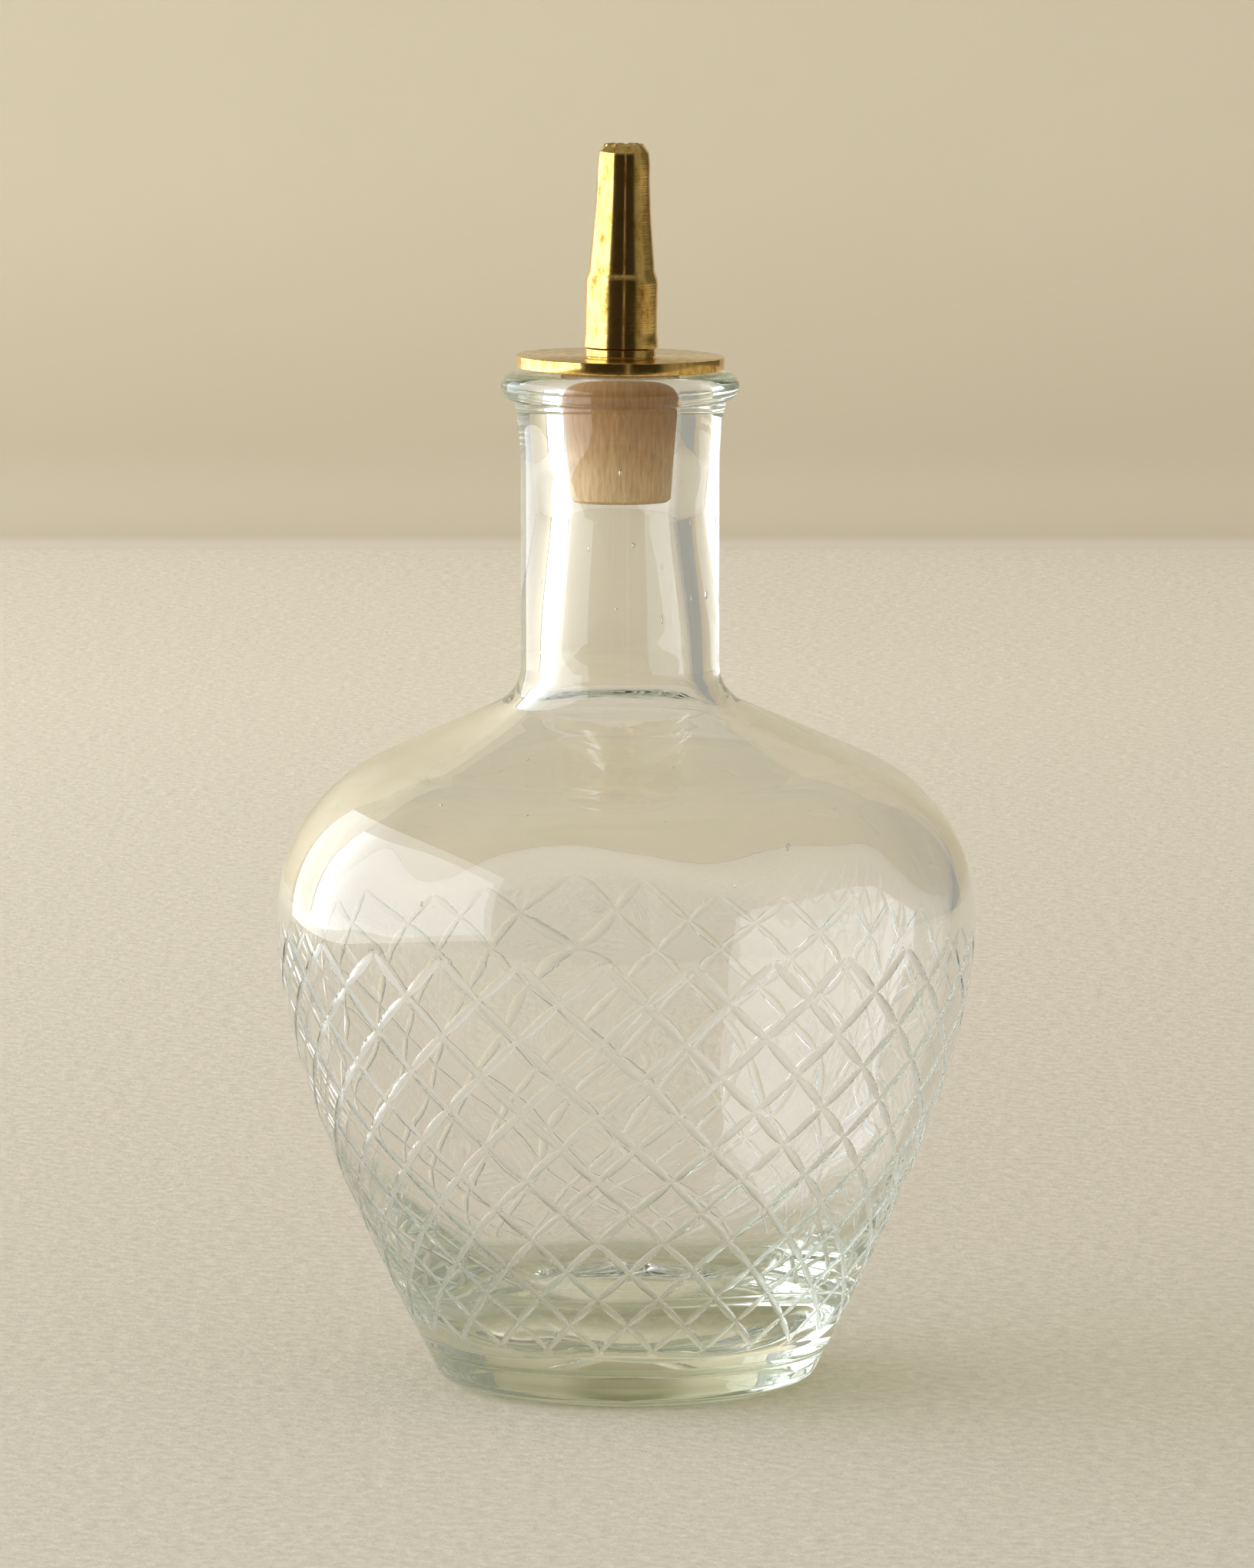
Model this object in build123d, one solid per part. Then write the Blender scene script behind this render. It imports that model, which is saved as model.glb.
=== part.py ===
from build123d import *

import os
from math import atan2, cos, pi, radians, sin, tan

# Cut-glass bitters bottle with a brass dasher in a cork.
# Millimetres, +Z up, origin at the centre of the ring that the glass stands on.
#
# The glass is one blown piece: a lattice of crossing V cuts runs round its sides.
# The dasher is a cork with a brass tube through it, a brass flange on the cork,
# and a tapered spout that screws onto the flange's nipple.

# Glass, outside
FOOT_DIAMETER = 41.0
HEEL_DIAMETER = 47.0
HEEL_HEIGHT = 3.0
BODY_DIAMETER = 84.14
SIDE_HEIGHT = 53.9
SIDE_LEAN_DEGREES = 27.5
SIDE_FULLNESS = 1.1
SHOULDER_RADIUS = 21.0
SHOULDER_LEAN_DEGREES = 66.0
NECK_DIAMETER = 23.9
NECK_ROOT_RADIUS = 4.9
NECK_LENGTH = 23.8
LIP_FLARE_LENGTH = 8.0
LIP_FLARE_DIAMETER = 25.4
LIP_DIAMETER = 28.66
LIP_BEAD_RADIUS = 1.73

# Glass, inside
GLASS_WALL = 3.3
BASE_THICKNESS = 8.5
CAVITY_CORNER_HEIGHT = 5.0
CAVITY_SHOULDER_STEPS = 4
BORE_DIAMETER = 13.5
BORE_ROOT_HEIGHT = 4.0
MOUTH_EDGE_WIDTH = 0.6
KICK_DIAMETER = 31.0
KICK_DEPTH = 1.2

# Lattice of cuts, and the flat-faced band that carries it
CUTS_EACH_WAY = 26
CUT_ROWS = 12
CUT_FOOT_HEIGHT = 8.0
CUT_TOP_MARGIN = 0.6
CUT_DEPTH = 0.2
CUT_ANGLE_DEGREES = 136.0
CUT_OVERRUN = 0.4
CUT_END_SHARE = 0.12
CUT_BAND_INSET = 0.03
LOW_ROW_SHARE = 0.8
ROWS_TO_A_CAVITY_STEP = 4

# Cork
CORK_LENGTH = 15.8
CORK_TOP_DIAMETER = 14.3
CORK_BOTTOM_DIAMETER = 12.0
CORK_CHAMFER = 0.35
CORK_CLEARANCE = 0.08
CORK_REVEAL = 0.45

# Brass tube through the cork
TUBE_DIAMETER = 5.0
TUBE_WALL = 0.5
TUBE_FLARE_DIAMETER = 7.0
TUBE_FLARE_HEIGHT = 1.0
TUBE_SOCKET_DEPTH = 1.6
BOND_GAP = 0.03

# Brass flange
FLANGE_DIAMETER = 25.0
FLANGE_THICKNESS = 1.5
FLANGE_EDGE_CHAMFER = 0.12
HUB_DIAMETER = 8.5
HUB_HEIGHT = 0.95
NIPPLE_DIAMETER = 6.0
NIPPLE_LENGTH = 3.5
NIPPLE_CHAMFER = 0.3

# Brass spout
SPOUT_FOOT_DIAMETER = 8.95
SPOUT_FOOT_HEIGHT = 1.6
SPOUT_BARREL_DIAMETER = 8.7
SPOUT_BARREL_HEIGHT = 6.4
SPOUT_STEP_HEIGHT = 1.4
SPOUT_CONE_DIAMETER = 7.85
SPOUT_CONE_LENGTH = 10.8
SPOUT_CONE_HOLLOW = 0.25
SPOUT_NOSE_DIAMETER = 6.38
SPOUT_NOSE_LENGTH = 3.2
SPOUT_TIP_EDGE_DIAMETER = 5.94
SPOUT_TIP_CHAMFER_LENGTH = 0.95
SPOUT_TIP_DIAMETER = 4.65
SPOUT_SEAM = 0.06
SPOUT_THREAD_CLEARANCE = 0.05
SPOUT_THREAD_RELIEF = 0.6
SPOUT_BORE_DIAMETER = 4.0
SPOUT_BORE_CONE_LENGTH = 1.2
ORIFICE_DIAMETER = 1.7
ORIFICE_LENGTH = 1.6

# Overrun of every cutter past the face that it leaves through
OVERRUN = 1.0

# Places on the glass that follow from the sizes above, from the foot up
SHOULDER_LEAN = radians(SHOULDER_LEAN_DEGREES)
BODY_RADIUS = BODY_DIAMETER / 2
NECK_RADIUS = NECK_DIAMETER / 2
BORE_RADIUS = BORE_DIAMETER / 2
WIDEST_Z = HEEL_HEIGHT + SIDE_HEIGHT
SHOULDER_CENTRE = BODY_RADIUS - SHOULDER_RADIUS
SLOPE_RADIUS = SHOULDER_CENTRE + SHOULDER_RADIUS * cos(SHOULDER_LEAN)
SLOPE_Z = WIDEST_Z + SHOULDER_RADIUS * sin(SHOULDER_LEAN)
SLOPE_TOP_RADIUS = NECK_RADIUS + NECK_ROOT_RADIUS * (1 - cos(SHOULDER_LEAN))
SLOPE_TOP_Z = SLOPE_Z + (SLOPE_RADIUS - SLOPE_TOP_RADIUS) / tan(SHOULDER_LEAN)
NECK_ROOT_Z = SLOPE_TOP_Z + NECK_ROOT_RADIUS * sin(SHOULDER_LEAN)
LIP_FLARE_Z = NECK_ROOT_Z + NECK_LENGTH
BEAD_FOOT_Z = LIP_FLARE_Z + LIP_FLARE_LENGTH
LIP_TOP_Z = BEAD_FOOT_Z + 2 * LIP_BEAD_RADIUS

# Heights of the dasher's pieces, which stand on one another
FLANGE_Z = LIP_TOP_Z + CORK_REVEAL
FLANGE_TOP_Z = FLANGE_Z + FLANGE_THICKNESS
HUB_TOP_Z = FLANGE_TOP_Z + HUB_HEIGHT
SPOUT_Z = HUB_TOP_Z + SPOUT_SEAM
CORK_FOOT_Z = FLANGE_Z - CORK_LENGTH


def around(*outline):
    """Turns a closed outline, drawn in the XZ plane, about the upright axis."""
    return revolve(make_face(outline), axis=Axis.Z)


def at(radius, height):
    """A point of an outline."""
    return (radius, 0, height)


def arc_point(centre, height, radius, angle):
    """A point of an arc about a centre, at an angle up from straight out."""
    return at(centre + radius * cos(angle), height + radius * sin(angle))


def side_place(share):
    """Radius, height and lean of the glass's side, at a share of its curve from heel to widest ring.

    The curve is a conic: it leaves the heel at the side's lean and ends upright.
    """
    heel, widest = at(HEEL_DIAMETER / 2, HEEL_HEIGHT), at(BODY_RADIUS, WIDEST_Z)
    bend_z = HEEL_HEIGHT + (BODY_RADIUS - heel[0]) / tan(radians(SIDE_LEAN_DEGREES))
    bend = at(BODY_RADIUS, min(bend_z, WIDEST_Z))
    weights = ((1 - share) ** 2, 2 * SIDE_FULLNESS * share * (1 - share), share**2)
    rates = (2 * share - 2, 2 * SIDE_FULLNESS * (1 - 2 * share), 2 * share)
    values, speeds = [], []
    for axis in (0, 2):
        ends = (heel[axis], bend[axis], widest[axis])
        value = sum(w * p for w, p in zip(weights, ends)) / sum(weights)
        speed = sum(r * p for r, p in zip(rates, ends)) - sum(rates) * value
        values.append(value)
        speeds.append(speed)
    return values[0], values[1], atan2(speeds[0], speeds[1])


def side_at(height):
    """Radius and lean of the glass's side at a height."""
    low, high = 0.0, 1.0
    for _ in range(50):
        middle = (low + high) / 2
        low, high = (middle, high) if side_place(middle)[1] < height else (low, middle)
    radius, _, lean = side_place(low)
    return radius, lean


def row_height(row):
    """Height of a row of crossings; the rows stand closer together towards the foot."""
    rise = row / CUT_ROWS
    share = rise * (LOW_ROW_SHARE + (1 - LOW_ROW_SHARE) * rise)
    return CUT_FOOT_HEIGHT + (WIDEST_Z - CUT_TOP_MARGIN - CUT_FOOT_HEIGHT) * share


def side_points(inset, rows):
    """Points of the side at rows of crossings, set in from the surface."""
    points = []
    for row in rows:
        height = row_height(row)
        radius, lean = side_at(height)
        points.append(at(radius - inset * cos(lean), height + inset * sin(lean)))
    return points


def blown_foot():
    """The glass below the lattice: foot and heel."""
    side = at(side_at(CUT_FOOT_HEIGHT)[0], CUT_FOOT_HEIGHT)
    corners = [at(0, 0), at(FOOT_DIAMETER / 2, 0), at(HEEL_DIAMETER / 2, HEEL_HEIGHT), side]
    return around(Polyline(*corners, at(0, CUT_FOOT_HEIGHT), close=True))


def blown_top():
    """The glass above the lattice: shoulder, neck and rolled lip."""
    band_z = row_height(CUT_ROWS)
    widest = at(BODY_RADIUS, WIDEST_Z)
    slope, slope_top = at(SLOPE_RADIUS, SLOPE_Z), at(SLOPE_TOP_RADIUS, SLOPE_TOP_Z)
    neck_root, flare_foot = at(NECK_RADIUS, NECK_ROOT_Z), at(NECK_RADIUS, LIP_FLARE_Z)
    bead_centre, bead_z = LIP_DIAMETER / 2 - LIP_BEAD_RADIUS, LIP_TOP_Z - LIP_BEAD_RADIUS
    bead_foot = at(min(LIP_FLARE_DIAMETER / 2, bead_centre), BEAD_FOOT_Z)
    root_centre = NECK_RADIUS + NECK_ROOT_RADIUS
    return around(
        Polyline(at(0, band_z), at(side_at(band_z)[0], band_z), widest),
        ThreePointArc(
            widest,
            arc_point(SHOULDER_CENTRE, WIDEST_Z, SHOULDER_RADIUS, SHOULDER_LEAN / 2),
            slope,
        ),
        Line(slope, slope_top),
        ThreePointArc(
            slope_top,
            arc_point(root_centre, NECK_ROOT_Z, -NECK_ROOT_RADIUS, SHOULDER_LEAN / 2),
            neck_root,
        ),
        Line(neck_root, flare_foot),
        Bezier(flare_foot, at(NECK_RADIUS, (LIP_FLARE_Z + BEAD_FOOT_Z) / 2), bead_foot),
        ThreePointArc(bead_foot, at(LIP_DIAMETER / 2, bead_z), at(bead_centre, LIP_TOP_Z)),
        Polyline(at(bead_centre, LIP_TOP_Z), at(0, LIP_TOP_Z), at(0, band_z)),
    )


def crossing(angle, row):
    """Where two cuts cross at an angle and row, and the glass's outward direction there."""
    height = row_height(row)
    radius, lean = side_at(height)
    radius -= CUT_BAND_INSET
    outward = Vector(cos(lean) * cos(angle), cos(lean) * sin(angle), -sin(lean))
    return Vector(radius * cos(angle), radius * sin(angle), height), outward


def cut_band():
    """The side between foot and shoulder, with a flat face for each cell between neighbouring crossings."""
    columns = 2 * CUTS_EACH_WAY
    rings = []
    for row in range(CUT_ROWS + 1):
        rings.append([crossing(pi * i / CUTS_EACH_WAY, row)[0] for i in range(columns)])
    outlines = [rings[0][::-1], rings[-1]]
    for low, high in zip(rings, rings[1:]):
        outlines += [[low[i - 1], low[i], high[i], high[i - 1]] for i in range(columns)]
    return Solid(Shell([Face(Wire.make_polygon(corners)) for corners in outlines]))


def glass_inside():
    """The space inside the glass: floor, side and shoulder one wall in from the outside, and bore."""
    foot_z = BASE_THICKNESS + CAVITY_CORNER_HEIGHT
    rows = [row for row in range(0, CUT_ROWS + 1, ROWS_TO_A_CAVITY_STEP) if row_height(row) > foot_z]
    side = side_points(GLASS_WALL, rows) + [at(BODY_RADIUS - GLASS_WALL, WIDEST_Z)]
    radius, lean = side_at(foot_z)
    foot = at(radius - GLASS_WALL / cos(lean), foot_z)
    floor = at(foot[0] - CAVITY_CORNER_HEIGHT, BASE_THICKNESS)
    arc_radius = SHOULDER_RADIUS - GLASS_WALL
    turns = [SHOULDER_LEAN * (i + 1) / CAVITY_SHOULDER_STEPS for i in range(CAVITY_SHOULDER_STEPS)]
    shoulder = [arc_point(SHOULDER_CENTRE, WIDEST_Z, arc_radius, turn) for turn in turns]
    slope = shoulder[-1]
    bend_z = slope[2] + (slope[0] - BORE_RADIUS) / tan(SHOULDER_LEAN)
    drop = BORE_ROOT_HEIGHT / 2
    slope_top = at(BORE_RADIUS + drop * tan(SHOULDER_LEAN), bend_z - drop)
    bore_root = at(BORE_RADIUS, bend_z + drop)
    above = LIP_TOP_Z + OVERRUN
    corners = [at(0, BASE_THICKNESS), floor, foot, *side, *shoulder, slope_top, bore_root]
    return around(Polyline(*corners, at(BORE_RADIUS, above), at(0, above), close=True))


def cork_radius(height):
    """Radius of the cork's taper at a height; the glass's seat follows the same taper."""
    share = (height - CORK_FOOT_Z) / CORK_LENGTH
    return (CORK_BOTTOM_DIAMETER + (CORK_TOP_DIAMETER - CORK_BOTTOM_DIAMETER) * share) / 2


def mouth_seat():
    """The tapered seat that the cork sits in, bevelled where it meets the lip."""
    foot_z, edge_z = CORK_FOOT_Z - OVERRUN, LIP_TOP_Z - MOUTH_EDGE_WIDTH
    seat = cork_radius(edge_z) + CORK_CLEARANCE
    mouth = seat + MOUTH_EDGE_WIDTH
    corners = [
        at(0, foot_z),
        at(cork_radius(foot_z) + CORK_CLEARANCE, foot_z),
        at(seat, edge_z),
        at(mouth, LIP_TOP_Z),
        at(mouth, LIP_TOP_Z + OVERRUN),
        at(0, LIP_TOP_Z + OVERRUN),
    ]
    return around(Polyline(*corners, close=True))


def base_kick():
    """The shallow hollow under the base, which leaves a ring to stand on."""
    rim = KICK_DIAMETER / 2
    return around(Polyline(at(0, 0), at(rim, 0), at(0, KICK_DEPTH), close=True))


def cut_bottoms(turn, hand):
    """The points that one cut's bottom passes through, each with the glass's outward direction there.

    The cut runs out at the surface a little inside the first and last rows.
    """
    step = hand * pi / CUTS_EACH_WAY
    points = [crossing(turn + step * row, row) for row in range(CUT_ROWS + 1)]
    (first, out_first), (last, out_last) = points[0], points[-1]
    first += (points[1][0] - first) * CUT_END_SHARE
    last += (points[-2][0] - last) * CUT_END_SHARE
    middle = [(surface - outward * CUT_DEPTH, outward) for surface, outward in points[1:-1]]
    return [(first, out_first), *middle, (last, out_last)]


def v_cutter(turn, hand):
    """One cut from the lattice's foot to its top: flat-walled V lengths, mitred where they meet."""
    points = cut_bottoms(turn, hand)
    half_angle = radians(CUT_ANGLE_DEGREES) / 2
    bottoms = [point for point, _ in points]
    tops = {}
    for side in (-1, 1):
        walls, leans = [], []
        for (here, out_here), (there, out_there) in zip(points, points[1:]):
            along = (there - here).normalized()
            across = along.cross(out_here + out_there).normalized()
            lean = across.cross(along) * cos(half_angle) + across * (side * sin(half_angle))
            walls.append(along.cross(lean).normalized())
            leans.append(lean)
        mitres = [before.cross(after).normalized() for before, after in zip(walls, walls[1:])]
        mitres = [m if m.dot(out) > 0 else -m for m, (_, out) in zip(mitres, points[1:-1])]
        mitres = [leans[0]] + mitres + [leans[-1]]
        reach = CUT_DEPTH + CUT_OVERRUN
        tops[side] = [b + m * (reach / m.dot(out)) for (b, out), m in zip(points, mitres)]
    left, right = tops[-1], tops[1]
    faces = [[bottoms[0], left[0], right[0]], [bottoms[-1], right[-1], left[-1]]]
    for i in range(CUT_ROWS):
        j = i + 1
        faces.append([bottoms[i], bottoms[j], left[j], left[i]])
        faces.append([bottoms[j], bottoms[i], right[i], right[j]])
        faces.append([left[i], left[j], right[i]])
        faces.append([left[j], right[j], right[i]])
    return Solid(Shell([Face(Wire.make_polygon(corners)) for corners in faces])).fix()


def bottle():
    """The glass, hollow and open at the mouth, with the lattice of cuts round its sides."""
    blown = blown_foot() + [cut_band(), blown_top()]
    glass = blown - [glass_inside(), mouth_seat(), base_kick()]
    turns = [2 * pi * i / CUTS_EACH_WAY for i in range(CUTS_EACH_WAY)]
    return glass - [v_cutter(turn, hand) for hand in (-1, 1) for turn in turns]


def stopper():
    """The tapered cork, bored for the tube and countersunk for the tube's flare."""
    chamfer_z = CORK_FOOT_Z + CORK_CHAMFER
    bore = TUBE_DIAMETER / 2 + BOND_GAP
    sink = TUBE_FLARE_DIAMETER / 2 + BOND_GAP
    corners = [
        at(sink, CORK_FOOT_Z),
        at(cork_radius(CORK_FOOT_Z) - CORK_CHAMFER, CORK_FOOT_Z),
        at(cork_radius(chamfer_z), chamfer_z),
        at(CORK_TOP_DIAMETER / 2, FLANGE_Z),
        at(bore, FLANGE_Z),
        at(bore, CORK_FOOT_Z + TUBE_FLARE_HEIGHT),
    ]
    return around(Polyline(*corners, close=True))


def stem_tube():
    """The brass tube through the cork, flared into the countersink and bonded into the flange."""
    outer = TUBE_DIAMETER / 2
    inner = outer - TUBE_WALL
    flare = TUBE_FLARE_DIAMETER / 2
    neck_z = CORK_FOOT_Z + TUBE_FLARE_HEIGHT
    top_z = FLANGE_Z + TUBE_SOCKET_DEPTH
    corners = [
        at(flare - TUBE_WALL, CORK_FOOT_Z),
        at(flare, CORK_FOOT_Z),
        at(outer, neck_z),
        at(outer, top_z),
        at(inner, top_z),
        at(inner, neck_z),
    ]
    return around(Polyline(*corners, close=True))


def flange_plate():
    """The polished disc over the mouth, with its hub and the nipple that carries the spout."""
    edge = FLANGE_DIAMETER / 2
    hub = HUB_DIAMETER / 2
    nipple = NIPPLE_DIAMETER / 2
    bore = TUBE_DIAMETER / 2 - TUBE_WALL
    socket = TUBE_DIAMETER / 2 + BOND_GAP
    socket_z = FLANGE_Z + TUBE_SOCKET_DEPTH + BOND_GAP
    nipple_z = HUB_TOP_Z + NIPPLE_LENGTH
    corners = [
        at(socket, FLANGE_Z),
        at(edge - FLANGE_EDGE_CHAMFER, FLANGE_Z),
        at(edge, FLANGE_Z + FLANGE_EDGE_CHAMFER),
        at(edge, FLANGE_TOP_Z - FLANGE_EDGE_CHAMFER),
        at(edge - FLANGE_EDGE_CHAMFER, FLANGE_TOP_Z),
        at(hub, FLANGE_TOP_Z),
        at(hub, HUB_TOP_Z),
        at(nipple, HUB_TOP_Z),
        at(nipple, nipple_z - NIPPLE_CHAMFER),
        at(nipple - NIPPLE_CHAMFER, nipple_z),
        at(bore, nipple_z),
        at(bore, socket_z),
        at(socket, socket_z),
    ]
    return around(Polyline(*corners, close=True))


def spout():
    """The tapered spout: foot, barrel, step, hollow-sided cone, nose and bevelled tip."""
    cone, nose = SPOUT_CONE_DIAMETER / 2, SPOUT_NOSE_DIAMETER / 2
    barrel, bore = SPOUT_BARREL_DIAMETER / 2, SPOUT_BORE_DIAMETER / 2
    thread, orifice = NIPPLE_DIAMETER / 2 + SPOUT_THREAD_CLEARANCE, ORIFICE_DIAMETER / 2
    barrel_z = SPOUT_Z + SPOUT_FOOT_HEIGHT
    step_z = barrel_z + SPOUT_BARREL_HEIGHT
    cone_z = step_z + SPOUT_STEP_HEIGHT
    nose_z = cone_z + SPOUT_CONE_LENGTH
    edge_z = nose_z + SPOUT_NOSE_LENGTH
    tip_z = edge_z + SPOUT_TIP_CHAMFER_LENGTH
    thread_z = HUB_TOP_Z + NIPPLE_LENGTH + SPOUT_THREAD_RELIEF
    choke_z = tip_z - ORIFICE_LENGTH
    corners = [
        at(nose, nose_z),
        at(SPOUT_TIP_EDGE_DIAMETER / 2, edge_z),
        at(SPOUT_TIP_DIAMETER / 2, tip_z),
        at(orifice, tip_z),
        at(orifice, choke_z),
        at(bore, choke_z - SPOUT_BORE_CONE_LENGTH),
        at(bore, thread_z),
        at(thread, thread_z),
        at(thread, SPOUT_Z),
        at(SPOUT_FOOT_DIAMETER / 2, SPOUT_Z),
        at(barrel, barrel_z),
        at(barrel, step_z),
        at(cone, cone_z),
    ]
    hollow = at((cone + nose) / 2 - SPOUT_CONE_HOLLOW, (cone_z + nose_z) / 2)
    return around(Polyline(*corners, hollow, close=True))


def main():
    os.makedirs("parts", exist_ok=True)
    for make in (bottle, stopper, stem_tube, flange_plate, spout):
        export_step(make(), f"parts/{make.__name__}.step")


main()
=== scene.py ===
import math
import random

import bmesh
import bpy
import numpy as np
from mathutils import Matrix, Vector, noise


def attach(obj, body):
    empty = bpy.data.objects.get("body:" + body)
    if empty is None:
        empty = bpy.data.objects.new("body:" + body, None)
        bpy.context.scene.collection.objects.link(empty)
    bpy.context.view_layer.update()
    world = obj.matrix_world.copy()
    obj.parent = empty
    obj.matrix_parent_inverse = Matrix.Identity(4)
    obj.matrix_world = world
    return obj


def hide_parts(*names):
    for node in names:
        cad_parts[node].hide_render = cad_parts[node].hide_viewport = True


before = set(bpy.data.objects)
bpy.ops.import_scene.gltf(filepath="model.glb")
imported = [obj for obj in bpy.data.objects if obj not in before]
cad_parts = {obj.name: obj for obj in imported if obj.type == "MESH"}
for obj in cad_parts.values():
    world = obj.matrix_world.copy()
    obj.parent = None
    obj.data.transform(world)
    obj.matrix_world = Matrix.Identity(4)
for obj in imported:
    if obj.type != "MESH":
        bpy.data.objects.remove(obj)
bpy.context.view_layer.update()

# Looks of a cut-glass bitters bottle with a brass dasher in a cork.
# Outlines are in millimetres and are scaled to metres when a mesh is made.
MM = 0.001
SEED = 11
random.seed(SEED)

# Glass outside: the same shape as the CAD solid, with softer corners
FOOT_RADIUS = 19.6
FOOT_RING = 2.0
FOOT_ROUND = (22.6, 0.5)
HEEL_RADIUS = 23.5
HEEL_Z = 3.0
BODY_RADIUS = 42.07
WIDEST_Z = 56.9
SIDE_LEAN = math.radians(27.5)
SIDE_FULLNESS = 1.1
SHOULDER_RADIUS = 21.0
SHOULDER_LEAN = math.radians(66.0)
NECK_RADIUS = 11.95
NECK_ROOT_RADIUS = 4.9
LIP_FLARE_Z = 110.9
LIP_FLARE_HANDLE_Z = 114.9
BEAD_FOOT_RADIUS = 12.75
BEAD_FOOT_Z = 118.9
BEAD_RADIUS = 1.73
BEAD_CENTRE = 12.6
LIP_TOP_Z = 122.39
KICK_RADIUS = 15.5
KICK_DEPTH = 1.2
MOULD_SEAM_Z = 4.8
MOULD_SEAM_HEIGHT = 0.06
MOULD_SEAM_WIDTH = 0.11

# Glass inside: the cork's seat, the neck's hollow, the wall, and a bowl of a floor
LIP_FLAT_RADII = (11.0, 9.6)
MOUTH_RADIUS = 7.5
MOUTH_ROUND = 1.2
SEAT_RADIUS = 7.2
SEAT_ROWS = ((118.0, 0.12), (114.0, 0.0), (110.0, -0.15))
SEAT_FOOT_Z = 105.5
BORE_RADIUS = 6.75
NECK_HOLLOW_RADIUS = 8.4
BORE_ROOT_Z = 89.0
SLOPE_TOP_RADIUS = 13.0
WALL = 3.2
FLOOR_CORNER_Z = 30.0
BASE_THICKNESS = 8.5
FLOOR_CROWN = 0.25
BUBBLES = 26
BUBBLE_BANDS = ((12, 55), (58, 72), (92, 118))
BUBBLE_SIZES = (0.1, 0.24)
BUBBLE_STRETCHES = (1, 2.6)

# Lattice of cuts, and the point attribute that marks them on the mesh
CUTS_EACH_WAY = 26
CUT_ROWS = 12
CUT_FOOT_Z = 8.0
CUT_TOP_Z = 56.3
CUT_LOW_ROW_SHARE = 0.8
CUT_STEPS = 7
CUT_PINCH_SHARE = 0.48
CUT_DEPTH = 0.5
CUT_DEPTH_SPREAD = 0.22
CUT_FADE_ROWS = 0.7
CUT_WANDER = 0.13
CUT_DRIFT = math.radians(3.5)
GROUND = "ground"

# Brass, as the CAD stacks it on the glass
FLANGE_Z = 122.84
FLANGE_TOP_Z = 124.34
HUB_TOP_Z = 125.27
SPOUT_Z = 125.37
SPOUT_TIP_Z = 149.68
DASHER_LEAN_DEGREES = 0.7
SPOUT_LEAN_DEGREES = 1.0
TURNING_CLEARANCE = 0.06

# How far the blown glass leans and wavers
BODY_SHIFT = 0.7
BODY_SHIFT_Z = 86.0
BODY_SHIFT_RUN = 14.0
NECK_FOOT_Z = 84.0
WALL_WAVER = 0.5
NECK_WAVER = 0.3
FLOOR_WAVER = 1.6

# Points on each ring of the glass, the disc and the spout
COLUMNS = 128
DISC_COLUMNS = 144
SPOUT_COLUMNS = 96

# Brass edges: the size of the disc's rounded ones, and the angle from where an edge stays sharp
EDGE_ROUND = 0.14
SHARP_FROM_DEGREES = 28

# For several materials: white, and where the two colours of a grain stand on its range
WHITE = (1, 1, 1, 1)
GRAIN_STOPS = (0.25, 0.75)

# Glass: its tint in depth, the greenish painted shade on the side of its foot, how dull the cuts are,
# and how much light one face lets through to the floor
TINT = (0.66, 0.80, 0.58, 1)
TINT_DENSITY = 6.0
FOOT_PAINTED_SHADE = (0.60, 0.66, 0.56, 1)
FOOT_SHADE_RADII = (0.016, 0.019)
FOOT_SHADE_HEIGHTS = (0.005, 0.0075)
GROUND_ROUGHNESS = 0.48
GROUND_CLEARNESS = 0.9
FULLY_GROUND = 0.5
SHADE = (0.90, 0.91, 0.885, 1)
BASE_SHADE = (0.79, 0.80, 0.72, 1)
BASE_SHADE_HEIGHTS = (0.008, 0.014)

# Brass: its colours from stain to polish, and its roughness in the stains and between them
BRASS = ((0.28, (0.32, 0.15, 0.03, 1)), (0.44, (0.72, 0.45, 0.12, 1)), (0.56, (0.88, 0.61, 0.21, 1)))
STAIN_SCALE = (900.0, 900.0, 500.0)
STAIN_RANGE = (0.3, 0.65)
BRASS_ROUGHNESS = (0.22, 0.1)
TURNING_SCALE = (60.0, 60.0, 5000.0)
POLISH_SCALE = (500.0, 500.0, 500.0)

# Cork: its grain, the colours of the grain low down and higher up, and where they meet
CORK_SCALE = (3200.0, 3200.0, 300.0)
CORK_LOW = ((200, 160, 112), (244, 212, 166))
CORK_HIGH = ((152, 106, 54), (198, 148, 86))
CORK_TONE_HEIGHTS = (0.108, 0.118)

# Stage: its colours as read off a picture, near the bottle and away from it, and the grain of
# paper and wall, by its scale per metre, its height in metres and how much it mottles
# Painted light: the paper is lighter away from the bottle, to even out the lamps' light falling off
PAPER_NEAR = (215, 207, 189)
PAPER_FAR_PAINTED_LIGHT = (232, 225, 208)
WALL_PAINT = (214, 204, 179)
WALL_LOW = (203, 192, 167)
WALL_FOOT = (224, 216, 198)
WALL_DIMMED = (146, 139, 108)
BEYOND_WALL = (206, 196, 170)
PAPER_GRAIN = (500.0, 0.0006, 0.16)
WALL_GRAIN = (12.0, 0.0002, 0.015)

# Stage, in metres: the wall's distance and round foot, how near the floor comes to the camera,
# the wall that only glass and brass see, and where colours run over into each other
BACK_Y = 1.06
COVE = 0.02
COVE_STEPS = 16
FRONT_Y = -0.42
STAGE_FRONT_Y = -4
STAGE_WIDTH = 9
STAGE_HEIGHT = 3
SEEN_WIDTH = 1.5
SEEN_HEIGHT = 0.9
SEEN_GAP = 0.0005
FOOT_BLEND = 0.0024
WALL_SHADE_TOP = 0.09
DIM_HEIGHTS = (0.16, 0.6)
DIM_ASIDE = (0.08, 0.3)
GATHERED_LIGHT = 0.3
GATHERED_RADII = (0.01, 0.0185)
PALE_NEAR = 0.12
PALE_FAR = 0.75

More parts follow.
